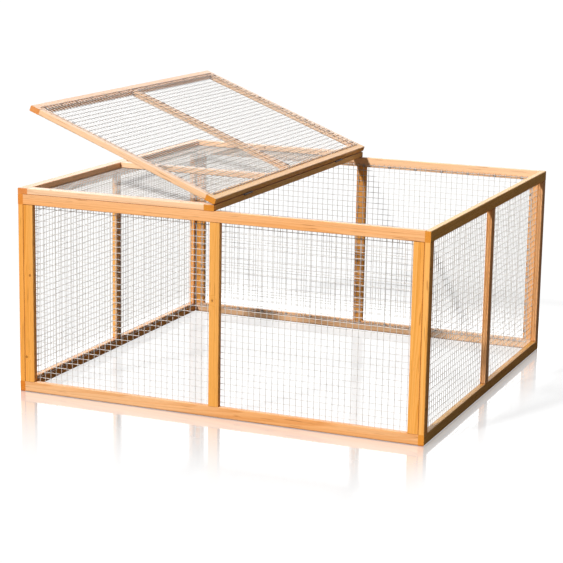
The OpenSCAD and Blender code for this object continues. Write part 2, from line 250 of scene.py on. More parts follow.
@dataclass(frozen=True)
class Streaks:
    """A soft pattern that is drawn out along the grain.

    Attributes:
        width: Size of its blobs across the grain.
        length: Their size along it.
        detail: Number of finer octaves.
        levels: What its values are turned into.
    """

    width: float
    length: float
    detail: float = 2.0
    levels: Span = Span(0.3, 0.7)

    def noise(self, add: Add, space: Node) -> Node:
        """Adds the pattern itself.

        Args:
            add: Adds a node to the bar's material.
            space: Coordinates with the grain along Z.

        Returns:
            The noise node.
        """
        scale = (1 / self.width, 1 / self.width, 1 / self.length)
        scaled = add("ShaderNodeMapping", {"Vector": space, "Scale": scale})
        return add("ShaderNodeTexNoise", {"Vector": scaled, "Scale": 1.0, "Detail": self.detail})

    def levelled(self, add: Add, space: Node) -> Node:
        """Adds the pattern and turns it into its levels."""
        return add(MAP_RANGE, self.levels.of(self.noise(add, space)))


@dataclass(frozen=True)
class Knot:
    """A branch that the bar was sawn through.

    Attributes:
        bearing: Direction of the branch from the pith, in radians.
        height: Place along the grain, in metres.
        radius: Radius of the branch, in metres.
    """

    bearing: float
    height: float
    radius: float


@dataclass(frozen=True)
class Cut:
    """How one bar lay in its tree, which stands along Z with its pith at 0.

    Attributes:
        turn: Turns the bar into the tree.
        shift: Moves the turned bar to its place.
        knots: The bar's knots.
        shade: How bright the bar is beside others.
    """

    turn: Euler
    shift: Vector
    knots: list[Knot]
    shade: float


@dataclass(frozen=True)
class StainedFir:
    """Planed fir with a water-based stain and a thin satin varnish.

    Rings around a pith that lies outside the bar give the long flames of a flat
    face, the straight lines of a quartered one and the arcs of an end. The eye
    sees soft orange bars with a few long streaks and small brown knots.

    Attributes:
        pith: Least and greatest distance from the pith to a bar's middle.
        foot: How far up or down its tree a bar may lie.
        lean: Largest angle between the pith and the bar, in degrees.
        shades: Brightness of the darkest and the lightest bar.
        ring: Width of a growth ring.
        season: Places in a ring, and how much of the latewood is there.
        weather: How fast good and poor years take turns, in turns a ring, and
            by how many rings they shift the later ones.
        drift: The slow waves in the rings.
        wander: How far those waves move a ring.
        knot_odds: How often a bar has no knot, one or two.
        knot_swing: How far a knot points past the bar's middle, in radians.
        knot_reach: How far it lies from the bar's middle, in bar lengths.
        knot_radii: Least and greatest radius of a knot.
        knot_slim: Width of a knot, as a share of its length along the grain.
        bulge: How far the rings give way, by the distance in knot radii.
        knot_centre: From the middle of a knot to its edge, in the same measure.
        knot_fade: How much of the knot's colour shows, likewise.
        knot_middle: Colour in the middle of a knot.
        knot_edge: Colour of the dark line around it.
        patch: The slow changes from warm to pale.
        streak: The long soft streaks in the brightness.
        fibre: The fine fibres, coarser than real ones so that they still show
            close up.
        pitch_pocket: Short streaks of resin, few enough to leave most bars free.
        resin: Colour of the resin.
        end: How square a face is to the grain where it counts as sawn across.
        end_tint: What a sawn end does to the colour.
        seam: How near another piece must be for the painted shade to darken the wood.
        seam_air: Share of open air over which a joint goes from clear to full painted shade and dust.
        seam_tint: What the painted shade in a joint does to the colour.
        dust: How much rougher dust makes it.
        gloss: Roughness of the varnish over the fibres.
        proud: How far the latewood stands out of the planed face, by the fibres.
        relief: Strength and depth of that relief.
    """

    pith: tuple[float, float] = (24 * MM, 60 * MM)
    foot: float = 2.0
    lean: float = 1.1
    shades: tuple[float, float] = (0.94, 1.04)
    ring: float = 2.6 * MM
    season: tuple[tuple[float, float], ...] = ((0.5, 0.16), (0.84, 0.85), (0.93, 1.0))
    weather: tuple[float, float] = (0.23, 4.0)
    drift: Streaks = Streaks(60 * MM, 380 * MM)
    wander: float = 3.0 * MM
    knot_odds: tuple[int, int, int] = (7, 2, 1)
    knot_swing: float = 0.16
    knot_reach: float = 0.45
    knot_radii: tuple[float, float] = (1.2 * MM, 2.8 * MM)
    knot_slim: float = 0.8
    bulge: Span = Span(0.0, 6.0, 7 * MM, 0.0)
    knot_centre: Span = Span(0.35, 0.95)
    knot_fade: Span = Span(1.3, 0.7, 0.0, 0.8)
    knot_middle: str = "#AE6428"
    knot_edge: str = "#7C451C"
    patch: Streaks = Streaks(45 * MM, 700 * MM, 1.0, Span(0.35, 0.65))
    streak: Streaks = Streaks(3.5 * MM, 260 * MM, 2.0, Span(0.3, 0.7, 0.94, 1.05))
    fibre: Streaks = Streaks(0.5 * MM, 22 * MM, 2.0, Span(0.3, 0.7, 0.96, 1.04))
    pitch_pocket: Streaks = Streaks(2.2 * MM, 60 * MM, 0.0, Span(0.74, 0.80, 0.0, 0.55))
    resin: str = "#A4602A"
    end: Span = Span(0.8, 0.95)
    end_tint: tuple[float, float, float] = (0.86, 0.62, 0.40)
    seam: float = 5 * MM
    seam_air: Span = Span(0.9, 0.55)
    seam_tint: tuple[float, float, float] = (0.42, 0.24, 0.13)
    dust: float = 0.7
    gloss: Span = Span(0.3, 0.7, 0.24, 0.36)
    proud: float = 0.4
    relief: tuple[float, float] = (0.35, 0.25 * MM)

    def cut(self, node: str, grain: Vector, length: float) -> Cut:
        """Chooses where in its tree a bar was sawn, and its few knots.

        Args:
            node: The bar's CAD node, which seeds the choice.
            grain: Direction of the grain, of length 1.
            length: Length of the bar.

        Returns:
            The bar's cut.
        """
        chance = random.Random(node)
        bearing = chance.uniform(-math.pi, math.pi)
        distance = chance.uniform(*self.pith)
        foot = chance.uniform(-self.foot, self.foot)
        leans = [math.radians(chance.uniform(-self.lean, self.lean)) for _ in range(2)]
        turn = Euler((*leans, 0)).to_matrix() @ grain.rotation_difference(Vector((0, 0, 1))).to_matrix()
        place = Vector((distance * math.cos(bearing), distance * math.sin(bearing), foot))
        number = chance.choices((0, 1, 2), weights=self.knot_odds)[0]
        knots = [
            Knot(
                bearing + chance.uniform(-self.knot_swing, self.knot_swing),
                foot + chance.uniform(-self.knot_reach, self.knot_reach) * length,
                chance.uniform(*self.knot_radii),
            )
            for _ in range(number)
        ]
        return Cut(turn.to_euler(), place - turn @ middle(node), knots, chance.uniform(*self.shades))

    def rings(self, add: Add, space: Node, knots: list[Knot]) -> tuple[Node, Node | None]:
        """Adds the growth rings, which flow round the knots.

        Args:
            add: Adds a node to the bar's material.
            space: Coordinates in the tree that the bar was sawn from.
            knots: The bar's knots.

        Returns:
            The share of latewood, and the distance to the nearest knot in knot
            radii, or None without knots.
        """
        waves = self.drift.noise(add, space).outputs["Color"]
        stray = add(VECTOR_MATH, {0: waves, 1: NOISE_MEAN}, operation="SUBTRACT")
        grown = add(VECTOR_MATH, {
            0: stray, 1: (NOISE_SPAN * self.wander, NOISE_SPAN * self.wander, 0), 2: space,
        }, operation="MULTIPLY_ADD")
        flat = add(VECTOR_MATH, {0: grown, 1: (1, 1, 0)}, operation="MULTIPLY")
        radius = add(VECTOR_MATH, {0: flat}, operation="LENGTH")
        nearest = None
        for knot in knots:
            along = add("ShaderNodeMapping", {
                "Vector": grown, "Rotation": (0, 0, -knot.bearing), "Location": (0, 0, -knot.height),
            })
            beside = add(VECTOR_MATH, {
                0: along, 1: (0, 1 / knot.radius, self.knot_slim / knot.radius),
            }, operation="MULTIPLY")
            away = add(VECTOR_MATH, {0: beside}, operation="LENGTH")
            if nearest is not None:
                away = add(MATH, {0: nearest, 1: away}, operation="MINIMUM")
            nearest = away
        if nearest is not None:
            give = add(MAP_RANGE, self.bulge.of(nearest), interpolation_type="SMOOTHERSTEP")
            radius = add(MATH, {0: radius, 1: give})

        # Good and poor years make wide and narrow rings.
        turns, shift = self.weather
        years = add(MATH, {0: radius, 1: 1 / self.ring}, operation="MULTIPLY")
        noise = {"W": years, "Scale": turns, "Detail": 1.0}
        weather = add("ShaderNodeTexNoise", noise, noise_dimensions="1D")
        dated = add(MATH, {0: weather, 1: shift, 2: years}, operation="MULTIPLY_ADD")
        season = add(MATH, {0: dated}, operation="FRACT")
        late = add("ShaderNodeValToRGB", {"Fac": season})
        stops = late.color_ramp.elements
        for stop in stops:
            stop.color = (0, 0, 0, 1)
        for at, value in self.season:
            stops.new(at).color = (value, value, value, 1)
        return late, nearest

    def material(self, node: str, tone: StainTone, grain: Vector, length: float) -> Material:
        """Makes the timber of one bar, cut from its own place in a tree.

        Args:
            node: The bar's CAD node, which also seeds its figure.
            tone: The stain.
            grain: Direction of the grain, of length 1.
            length: Length of the bar.

        Returns:
            The bar's material.
        """
        cut = self.cut(node, grain, length)
        material, add = new_material(f"stained_fir_{node}")
        mix = {"data_type": "RGBA"}
        where = add("ShaderNodeTexCoord").outputs
        space = add("ShaderNodeMapping", {
            "Vector": where["Object"], "Location": cut.shift, "Rotation": cut.turn,
        })
        late, knot = self.rings(add, space, cut.knots)

        paler = self.patch.levelled(add, space)
        early_wood, late_wood = (
            add("ShaderNodeMix", {
                "Factor_Float": paler, "A_Color": linear(warm), "B_Color": linear(pale),
            }, **mix)
            for warm, pale in (tone.value.early, tone.value.late)
        )
        ringed = add("ShaderNodeMix", {
            "Factor_Float": late, "A_Color": early_wood, "B_Color": late_wood,
        }, **mix)

        # Streaks, fibres and the bar's own shade, as one brightness.
        fibres = self.fibre.noise(add, space)
        fine = add(MAP_RANGE, self.fibre.levels.of(fibres))
        streaks = self.streak.levelled(add, space)
        shade = add(MATH, {0: streaks, 1: cut.shade}, operation="MULTIPLY")
        light = add(MATH, {0: shade, 1: fine}, operation="MULTIPLY")
        colour = add(VECTOR_MATH, {0: ringed, "Scale": light}, operation="SCALE")

        # What lies over the wood: its share, its colour and how it is laid on.
        layers = [(self.pitch_pocket.levelled(add, space), linear(self.resin), "MIX")]
        if knot is not None:
            outwards = add(MAP_RANGE, self.knot_centre.of(knot))
            branch = add("ShaderNodeMix", {
                "Factor_Float": outwards,
                "A_Color": linear(self.knot_middle), "B_Color": linear(self.knot_edge),
            }, **mix)
            shown = add(MAP_RANGE, self.knot_fade.of(knot), interpolation_type="SMOOTHSTEP")
            layers.append((shown, branch, "MIX"))

        # A sawn end drinks more stain, so it is darker and redder.
        facing = add(VECTOR_MATH, {0: where["Normal"], 1: grain}, operation="DOT_PRODUCT")
        square_on = add(MATH, {0: facing}, operation="ABSOLUTE")
        sawn = add(MAP_RANGE, self.end.of(square_on))
        layers.append((sawn, (*self.end_tint, 1), "MULTIPLY"))

        # Painted shade darkens the wood where another piece lies close, as at the joints, by the open air
        # within the seam distance; the same share makes the varnish rougher there, as dust would.
        air = add("ShaderNodeAmbientOcclusion", {"Distance": self.seam}, samples=6).outputs["AO"]
        shade_and_dust = add(MAP_RANGE, self.seam_air.of(air))
        # painted shade: the occlusion share multiplies the colour by a dark tint
        layers.append((shade_and_dust, (*self.seam_tint, 1), "MULTIPLY"))
        for share, over, way in layers:
            colour = add("ShaderNodeMix", {
                "Factor_Float": share, "A_Color": colour, "B_Color": over,
            }, blend_type=way, **mix)
        sheen = add(MAP_RANGE, self.gloss.of(fibres))
        dusty = add(MATH, {0: shade_and_dust, 1: self.dust, 2: sheen}, operation="MULTIPLY_ADD")
        height = add(MATH, {0: late, 1: self.proud, 2: fibres}, operation="MULTIPLY_ADD")
        finish_surface(add, height, self.relief, {"Base Color": colour, "Roughness": dusty, "IOR": 1.5})
        return material


# ---- Small parts ----


@dataclass(frozen=True)
class MottledFinish:
    """A finish in soft patches of two tones, which its fine relief follows.

    Attributes:
        name: The material's name.
        first: Colour of the patches where the noise is low.
        second: Colour where it is high.
        patch: Size of a patch.
        gloss: Roughness of the first and of the second patches, or one for all.
        metal: Metallic share; white bloom on old zinc lowers it.
        detail: Number of finer octaves in the patches' outlines.
        grit: Roughness of those outlines.
        spread: The noise's values at the first and at the second colour.
        relief: Strength and depth of the relief.
    """

    name: str
    first: str
    second: str
    patch: float
    gloss: tuple[float, float] | float
    metal: float
    detail: float = 4.0
    grit: float = 0.65
    spread: tuple[float, float] = (0.36, 0.64)
    relief: tuple[float, float] = (0.2, 0.05 * MM)

    def material(self) -> Material:
        """Makes the finish.

        Returns:
            The material that has it.
        """
        material, add = new_material(self.name)
        where = add("ShaderNodeTexCoord").outputs["Object"]
        clouds = add("ShaderNodeTexNoise", {
            "Vector": where, "Scale": 1 / self.patch, "Detail": self.detail, "Roughness": self.grit,
        })
        share = add(MAP_RANGE, Span(*self.spread).of(clouds))
        colour = add("ShaderNodeMix", {
            "Factor_Float": share, "A_Color": linear(self.first), "B_Color": linear(self.second),
        }, data_type="RGBA")
        rough = self.gloss
        if isinstance(rough, tuple):
            rough = add(MAP_RANGE, Span(*self.spread, *rough).of(clouds))
        inputs = {"Base Color": colour, "Roughness": rough, "Metallic": self.metal}
        finish_surface(add, clouds, self.relief, inputs)
        return material


class SmallPart(Enum):
    """Finishes of the wire, the fastenings and the dowels."""

    # Galvanised steel, hot dipped after welding: pale and matt, a light veil.
    WIRE = MottledFinish("galvanised_wire", "#EBE8E4", "#D7D4CF", 3 * MM, (0.42, 0.62), 0.12)
    # Wire plated before it is bent: small grey points that catch the light.
    STAPLE = MottledFinish("galvanised_staple", "#A3A5A8", "#85878A", 1.5 * MM, (0.35, 0.5), 0.9)
    # Pressed leaves with weathered zinc: dark grey, almost lost in the joint.
    HINGE = MottledFinish("zinc_plated_hinge", "#67635E", "#4E4B47", 4 * MM, (0.32, 0.46), 1.0)
    # Passivated screws: brassy heads that sit a little brighter than the wood.
    SCREW = MottledFinish("yellow_zinc_screw", "#C9A45C", "#A87F3A", 1.5 * MM, (0.3, 0.45), 1.0)
    # Fluted beech, glued in: plain pale wood with short brown flecks.
    DOWEL = MottledFinish(
        "turned_beech", "#D8B07C", "#B5854E", 1.2 * MM, gloss=0.6, metal=0.0,
        detail=2.0, grit=0.5, spread=(0.5, 0.72), relief=(0.3, 0.1 * MM),
    )


# ---- Geometry node trees ----


def new_geometry_tree(
    name: str, sizes: tuple[str, ...], counts: tuple[str, ...]
) -> tuple[NodeTree, Add, NodeOutputs]:
    """Makes a geometry tree that takes a geometry, named numbers and a material.

    Args:
        name: The tree's name.
        sizes: Names of its inputs that hold sizes.
        counts: Names of its inputs that hold whole numbers.

    Returns:
        The tree, what adds a node to it, and the sockets of its inputs.
    """
    tree = bpy.data.node_groups.new(name, "GeometryNodeTree")
    inlets = {
        "Geometry": "NodeSocketGeometry", **dict.fromkeys(sizes, "NodeSocketFloat"),
        **dict.fromkeys(counts, "NodeSocketInt"), "Material": "NodeSocketMaterial",
    }
    for inlet, kind in inlets.items():
        tree.interface.new_socket(inlet, in_out="INPUT", socket_type=kind)
    tree.interface.new_socket("Geometry", in_out="OUTPUT", socket_type="NodeSocketGeometry")
    return tree, partial(add_node, tree), tree.nodes.new("NodeGroupInput").outputs


def finish_geometry(add: Add, geometry: Node, material: NodeSocket) -> None:
    """Ends a geometry tree: its instances are made real and given their material."""
    real = add("GeometryNodeRealizeInstances", {"Geometry": geometry})
    add("NodeGroupOutput", {0: add("GeometryNodeSetMaterial", {"Geometry": real, "Material": material})})


def grow(tree: NodeTree, points: list[Vector], maker: object, others: dict[str, object]) -> Mesh:
    """Runs a geometry tree on loose points and returns the plain mesh.

    Args:
        tree: The tree.
        points: The points of the mesh that it starts from.
        maker: What built the tree, whose fields are inputs of it.
        others: The tree's other inputs, by name.

    Returns:
        The mesh that the tree made.
    """
    values = {name.title(): value for name, value in vars(maker).items()} | others
    seed_mesh = bpy.data.meshes.new("points")
    seed_mesh.from_pydata(points, [], [])
    host = add_object("host", seed_mesh)
    modifier = host.modifiers.new("grow", "NODES")
    modifier.node_group = tree
    for item in tree.interface.items_tree:
        if item.in_out == "INPUT" and item.name in values:
            modifier[item.identifier] = values[item.name]
    graph = bpy.context.evaluated_depsgraph_get()
    made = bpy.data.meshes.new_from_object(host.evaluated_get(graph), depsgraph=graph)
    host.modifiers.remove(modifier)
    bpy.data.objects.remove(host)
    bpy.data.meshes.remove(seed_mesh)
    return made


# ---- Panels ----


def seat(low: Vector, high: Vector) -> Vector:
    """Middle of the outer face of a box in a panel's own frame."""
    return Vector(((low.x + high.x) / 2, low.y, (low.z + high.z) / 2))


@dataclass
class Panel:
    """One frame of the run, with its own axes read from its packed bars.

    In the panel's own frame X runs along the long bars, centred; Y goes from
    the outer face inwards; and Z goes from the low bar's edge to the high one's.

    Attributes:
        name: The panel's name, which starts its pieces' names.
        body: The CAD body that it rides on.
        long_bars: Names of the low and the high bar.
        cross_bars: Names of the first, the middle and the last cross bar.
        tones: Stains of the long bars and then of the cross bars, in that order.
        bars: CAD nodes of the bars, in the same order.
        ways: Direction of each bar's grain, and the panel's size that way.
        axes: Turns the panel's own frame to the shared one.
    """

    name: str
    body: str
    long_bars: tuple[str, str]
    cross_bars: tuple[str, str, str]
    tones: tuple[StainTone, StainTone, StainTone, StainTone, StainTone]
    bars: list[str] = field(init=False)
    ways: list[tuple[Vector, float]] = field(init=False)
    axes: Matrix = field(init=False)

    def __post_init__(self) -> None:
        """Reads the panel's axes and sizes from its bars."""
        self.bars = [f"{self.name}_{bar}" for bar in (*self.long_bars, *self.cross_bars)]
        low, high, first, _, last = self.bars
        along = (middle(last) - middle(first)).normalized()
        up = (middle(high) - middle(low)).normalized()
        self.axes = Matrix((along, up.cross(along), up)).transposed().to_4x4()
        self.axes.translation = middle(low)
        start, end = self.extent(low)
        self.axes.translation = self.axes @ Vector((0, start.y, start.z))
        self.ways = [(along, end.x - start.x)] * len(self.long_bars)
        self.ways += [(up, self.extent(high)[1].z)] * len(self.cross_bars)

    def extent(self, node: str) -> tuple[Vector, Vector]:
        """Box of a CAD node in the panel's own frame.

        Args:
            node: The CAD node's name.

        Returns:
            Its lowest and its highest corner.
        """
        mesh = frame["nodes"][node].data
        flat = np.empty(len(mesh.vertices) * 3, np.float32)
        mesh.vertices.foreach_get("co", flat)
        back = np.array(self.axes.inverted())
        own = flat.reshape(-1, 3) @ back[:3, :3].T + back[:3, 3]
        return Vector(own.min(0)), Vector(own.max(0))

    def islands(self, node: str) -> list[tuple[Vector, Vector]]:
        """Boxes of the separate solids of a CAD node, in the panel's own frame.

        Args:
            node: The CAD node's name.

        Returns:
            The lowest and the highest corner of each solid, in the file's order.
        """
        solid = bmesh.new()
        solid.from_mesh(frame["nodes"][node].data)
        bmesh.ops.remove_doubles(solid, verts=solid.verts, dist=0.001 * MM)
        back = self.axes.inverted()
        boxes = []
        seen = set()
        for start in solid.verts:
            if start in seen:
                continue
            seen.add(start)
            stack = [start]
            corners = []
            while stack:
                vert = stack.pop()
                corners.append(back @ vert.co)
                for edge in vert.link_edges:
                    other = edge.other_vert(vert)
                    if other not in seen:
                        seen.add(other)
                        stack.append(other)
            boxes.append((Vector(np.min(corners, 0)), Vector(np.max(corners, 0))))
        solid.free()
        return boxes

    def add_piece(self, kind: str, mesh: Mesh) -> None:
        """Places a mesh made in the panel's frame and lets it stand for a CAD node.

        Args:
            kind: What the piece is; with the panel's name it names the CAD node.
            mesh: The piece's mesh, in the panel's own frame.
        """
        node = f"{self.name}_{kind}"
        mesh.transform(self.axes)
        piece = add_object(f"{node}_look", mesh)
        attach(piece, self.body)
        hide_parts(node)
        log.info("%s: %d faces", piece.name, len(mesh.polygons))

    def stain(self, timber: StainedFir) -> None:
        """Stains the five bars, each with its own figure along its own grain.

        Args:
            timber: The timber that they are cut from.
        """
        for bar, tone, way in zip(self.bars, self.tones, self.ways):
            dress(bar, timber.material(bar, tone, *way))
        log.info("%s: five bars stained", self.name)


@dataclass
class WeldedMesh:
    """Galvanised welded mesh: two layers of round wire, welded where they cross.

    Each field is the input of the tree that has its name, with a capital.

    Attributes:
        pitch: Distance from one wire to the next.
        wire: Diameter of a wire.
        bite: How deep the layers are welded into each other.
        weld: Radius of the zinc around a weld.
        ripple: How far the sheet bows in and out between the bars.
        stray: How far a wire strays sideways.
        wave: Length of those waves.
        sides: Sides of a wire's section.
    """

    pitch: float = 15 * MM
    wire: float = 1.3 * MM
    bite: float = 0.2 * MM
    weld: float = 0.8 * MM
    ripple: float = 1.0 * MM
    stray: float = 0.3 * MM
    wave: float = 130 * MM
    sides: int = 6

    def tree(self) -> NodeTree:
        """Builds the tree that makes a sheet of mesh, centred on X and on Z.

        Returns:
            The geometry tree.
        """
        tree, add, inlet = new_geometry_tree("welded_mesh", (
            "Reach Along", "Reach Up", "Pitch", "Wire", "Bite", "Weld", "Ripple", "Stray", "Wave", "Seed",
        ), ("Sides",))
        bowed = self.bow(add, inlet, self.weave(add, inlet))
        smooth = add("GeometryNodeSetShadeSmooth", {"Geometry": bowed})
        finish_geometry(add, smooth, inlet["Material"])
        return tree

    @staticmethod
    def weave(add: Add, inlet: NodeOutputs) -> Node:
        """Adds a flat sheet: two layers of wire, and a ball of zinc at each weld.

        Args:
            add: Adds a node to the tree.
            inlet: The tree's inputs.

        Returns:
            The node that holds the sheet.
        """
        lower = add(MATH, {0: inlet["Wire"], 1: 0.5}, operation="MULTIPLY")
        raised = add(MATH, {0: inlet["Wire"], 1: 1.5}, operation="MULTIPLY")
        upper = add(MATH, {0: raised, 1: inlet["Bite"]}, operation="SUBTRACT")
        both = add(MATH, {0: upper, 1: lower})
        crossing = add(MATH, {0: both, 1: 0.5}, operation="MULTIPLY")
        section = add("GeometryNodeCurvePrimitiveCircle", {"Resolution": inlet["Sides"], "Radius": lower})

        def places(reach: NodeSocket, axis: int) -> Node:
            """Adds points at the wires' places along an axis, centred on the sheet.

            Args:
                reach: Size of the sheet along that axis.
                axis: 0 for X or 2 for Z.

            Returns:
                The node that holds the points.
            """
            room = add(MATH, {0: reach, 1: inlet["Wire"]}, operation="SUBTRACT")
            ratio = add(MATH, {0: room, 1: inlet["Pitch"]}, operation="DIVIDE")
            cells = add(MATH, {0: ratio}, operation="FLOOR")
            count = add(MATH, {0: cells, 1: 1.0})
            span = add(MATH, {0: cells, 1: inlet["Pitch"]}, operation="MULTIPLY")
            first = add(MATH, {0: span, 1: -0.5}, operation="MULTIPLY")
            return add("GeometryNodeMeshLine", {
                "Count": count,
                "Start Location": add("ShaderNodeCombineXYZ", {axis: first}),
                "Offset": add("ShaderNodeCombineXYZ", {axis: inlet["Pitch"]}),
            }, mode="OFFSET")

        def wires(points: Node, reach: NodeSocket, axis: int, depth: Node) -> Node:
            """Adds round wires along an axis, one through each point.

            Args:
                points: Where the wires cross the other axis.
                reach: Their length.
                axis: 0 for X or 2 for Z.
                depth: Place of their middle line on Y.

            Returns:
                The node that holds the wires.
            """
            start, end = (
                add("ShaderNodeCombineXYZ", {
                    axis: add(MATH, {0: reach, 1: side}, operation="MULTIPLY"), 1: depth,
                })
                for side in (-0.5, 0.5)
            )
            line = add("GeometryNodeCurvePrimitiveLine", {"Start": start, "End": end})
            steps = add(MATH, {0: reach, 1: inlet["Pitch"]}, operation="DIVIDE")
            finer = add("GeometryNodeResampleCurve", {"Curve": line, "Count": steps})
            laid = add("GeometryNodeInstanceOnPoints", {"Points": points, "Instance": finer})
            loose = add("GeometryNodeRealizeInstances", {"Geometry": laid})
            return add("GeometryNodeCurveToMesh", {
                "Curve": loose, "Profile Curve": section, "Fill Caps": True,
            })

        columns = places(inlet["Reach Along"], 0)
        rows = places(inlet["Reach Up"], 2)
        ball = add("GeometryNodeMeshIcoSphere", {"Radius": inlet["Weld"], "Subdivisions": 1})
        column = add("GeometryNodeInstanceOnPoints", {"Points": rows, "Instance": ball})
        welds = add("GeometryNodeInstanceOnPoints", {"Points": columns, "Instance": column})
        seated = add("GeometryNodeTransform", {
            "Geometry": welds, "Translation": add("ShaderNodeCombineXYZ", {1: crossing}),
        })
        uprights = wires(columns, inlet["Reach Up"], 2, lower)
        levels = wires(rows, inlet["Reach Along"], 0, upper)
        sheet = add("GeometryNodeJoinGeometry", {0: [uprights, levels, seated]})
        return add("GeometryNodeRealizeInstances", {"Geometry": sheet})

    @staticmethod
    def bow(add: Add, inlet: NodeOutputs, sheet: Node) -> Node:
        """Bows a sheet between the bars, which divide its length in two.

        Args:
            add: Adds a node to the tree.
            inlet: The tree's inputs.
            sheet: The node that holds the flat sheet.

        Returns:
            The node that holds the bowed sheet.
        """
        spot = add("GeometryNodeInputPosition")
        x, _, z = add("ShaderNodeSeparateXYZ", {0: spot}).outputs

        def slack(place: NodeSocket, reach: NodeSocket, bays: int) -> Node:
            """Adds how free the sheet is along one axis.

            Args:
                place: Coordinate on that axis, from the sheet's middle.
                reach: Size of the sheet along it.
                bays: Number of bays between the bars along it.

            Returns:
                The node that holds 0 at the bars and 1 in the middle of a bay.
            """
            share = add(MATH, {0: place, 1: reach}, operation="DIVIDE")
            angle = add(MATH, {
                0: share, 1: bays * math.pi, 2: (bays - 1) * math.pi / 2,
            }, operation="MULTIPLY_ADD")
            wave = add(MATH, {0: angle}, operation="COSINE")
            return add(MATH, {0: wave}, operation="ABSOLUTE")

        free = slack(x, inlet["Reach Along"], bays=2)
        for factor in (slack(z, inlet["Reach Up"], bays=1), NOISE_SPAN):
            free = add(MATH, {0: free, 1: factor}, operation="MULTIPLY")
        frequency = add(MATH, {0: 1.0, 1: inlet["Wave"]}, operation="DIVIDE")
        noise = add("ShaderNodeTexNoise", {
            "Vector": spot, "W": inlet["Seed"], "Scale": frequency, "Detail": 1.0,
        }, noise_dimensions="4D").outputs["Color"]
        even = add(VECTOR_MATH, {0: noise, 1: NOISE_MEAN}, operation="SUBTRACT")
        amount = add("ShaderNodeCombineXYZ", {0: inlet["Stray"], 1: inlet["Ripple"], 2: inlet["Stray"]})
        full = add(VECTOR_MATH, {0: even, 1: amount}, operation="MULTIPLY")
        offset = add(VECTOR_MATH, {0: full, "Scale": free}, operation="SCALE")
        return add("GeometryNodeSetPosition", {"Geometry": sheet, "Offset": offset})

    def make(self, tree: NodeTree, panel: Panel, seed: int, material: Material) -> None:
        """Makes one panel's sheet and puts it in the place of the plain one.

        Args:
            tree: What tree() returned.
            panel: The panel.
            seed: Chooses the sheet's waves.
            material: The wire's material.
        """
        low, high = panel.extent(f"{panel.name}_mesh")
        mesh = grow(tree, [], self, {
            "Reach Along": high.x - low.x, "Reach Up": high.z - low.z,
            "Seed": float(seed), "Material": material,
        })
        mesh.transform(Matrix.Translation(seat(low, high)))
        panel.add_piece("mesh", mesh)


@dataclass
class BentStaples:
    """Staples of flat wire, bent round at the shoulders, driven over the mesh.

    Each field is the input of the tree that has its name, with a capital.

    Attributes:
        width: Width of the flat wire.
        thickness: Thickness of the flat wire.
        bend: Radius of the shoulders.
        steps: Number of flats in a shoulder.
    """

    width: float = 1.2 * MM
    thickness: float = 0.6 * MM
    bend: float = 0.9 * MM
    steps: int = 3

    def tree(self) -> NodeTree:
        """Builds the tree that puts a staple on each point, its legs along -Y.

        Returns:
            The geometry tree.
        """
        sizes = ("Crown", "Reach", "Width", "Thickness", "Bend", "Turn")
        tree, add, inlet = new_geometry_tree("bent_staples", sizes, ("Steps",))
        corners = 4  # foot, shoulder, shoulder and foot
        path = add("GeometryNodeMeshLine", {"Count": corners})
        index = add("GeometryNodeInputIndex")
        order = add(MATH, {0: index, 1: (corners - 1) / 2}, operation="SUBTRACT")
        side = add(MATH, {0: order}, operation="SIGN")
        stance = add(MATH, {0: inlet["Crown"], 1: inlet["Thickness"]}, operation="SUBTRACT")
        half = add(MATH, {0: stance, 1: 0.5}, operation="MULTIPLY")
        across = add(MATH, {0: side, 1: half}, operation="MULTIPLY")
        off_middle = add(MATH, {0: order}, operation="ABSOLUTE")
        shoulder = add(MATH, {0: off_middle, 1: 1.0}, operation="LESS_THAN")
        core = add(MATH, {0: inlet["Thickness"], 1: -0.5, 2: inlet["Reach"]}, operation="MULTIPLY_ADD")
        top = add(MATH, {0: shoulder, 1: core}, operation="MULTIPLY")
        shaped = add("GeometryNodeSetPosition", {
            "Geometry": path, "Position": add("ShaderNodeCombineXYZ", {0: across, 1: top}),
        })
        curve = add("GeometryNodeMeshToCurve", {"Mesh": shaped})
        rounded = add("GeometryNodeFilletCurve", {
            "Curve": curve, "Radius": inlet["Bend"], "Count": inlet["Steps"],
        }, mode="POLY")
        upright = add("GeometryNodeSetCurveNormal", {"Curve": rounded}, mode="Z_UP")
        section = add("GeometryNodeCurvePrimitiveQuadrilateral", {
            "Width": inlet["Thickness"], "Height": inlet["Width"],
        })
        staple = add("GeometryNodeCurveToMesh", {
            "Curve": upright, "Profile Curve": section, "Fill Caps": True,
        })
        driven = add("GeometryNodeInstanceOnPoints", {
            "Points": inlet["Geometry"], "Instance": staple,
            "Rotation": add("ShaderNodeCombineXYZ", {1: inlet["Turn"]}),
        })
        finish_geometry(add, driven, inlet["Material"])
        return tree

    def make(self, tree: NodeTree, panel: Panel, material: Material) -> None:
        """Drives one panel's staples where its packed ones are.

        Args:
            tree: What tree() returned.
            panel: The panel.
            material: The staples' material.
        """
        boxes = panel.islands(f"{panel.name}_staples")
        joined = bmesh.new()
        for turned in (False, True):
            chosen = [(lo, hi) for lo, hi in boxes if (hi.z - lo.z > hi.x - lo.x) == turned]
            lo, hi = chosen[0]
            mesh = grow(tree, [seat(*box) for box in chosen], self, {
                "Crown": max(hi.x - lo.x, hi.z - lo.z), "Reach": hi.y - lo.y,
                "Turn": math.pi / 2 if turned else 0.0, "Material": material,
            })
            joined.from_mesh(mesh)
            bpy.data.meshes.remove(mesh)
        bmesh.ops.recalc_face_normals(joined, faces=joined.faces)
        whole = bpy.data.meshes.new(f"{panel.name}_staples_look")
        joined.to_mesh(whole)
        joined.free()
        whole.materials.append(material)
        panel.add_piece("staples", whole)


# ---- The run ----


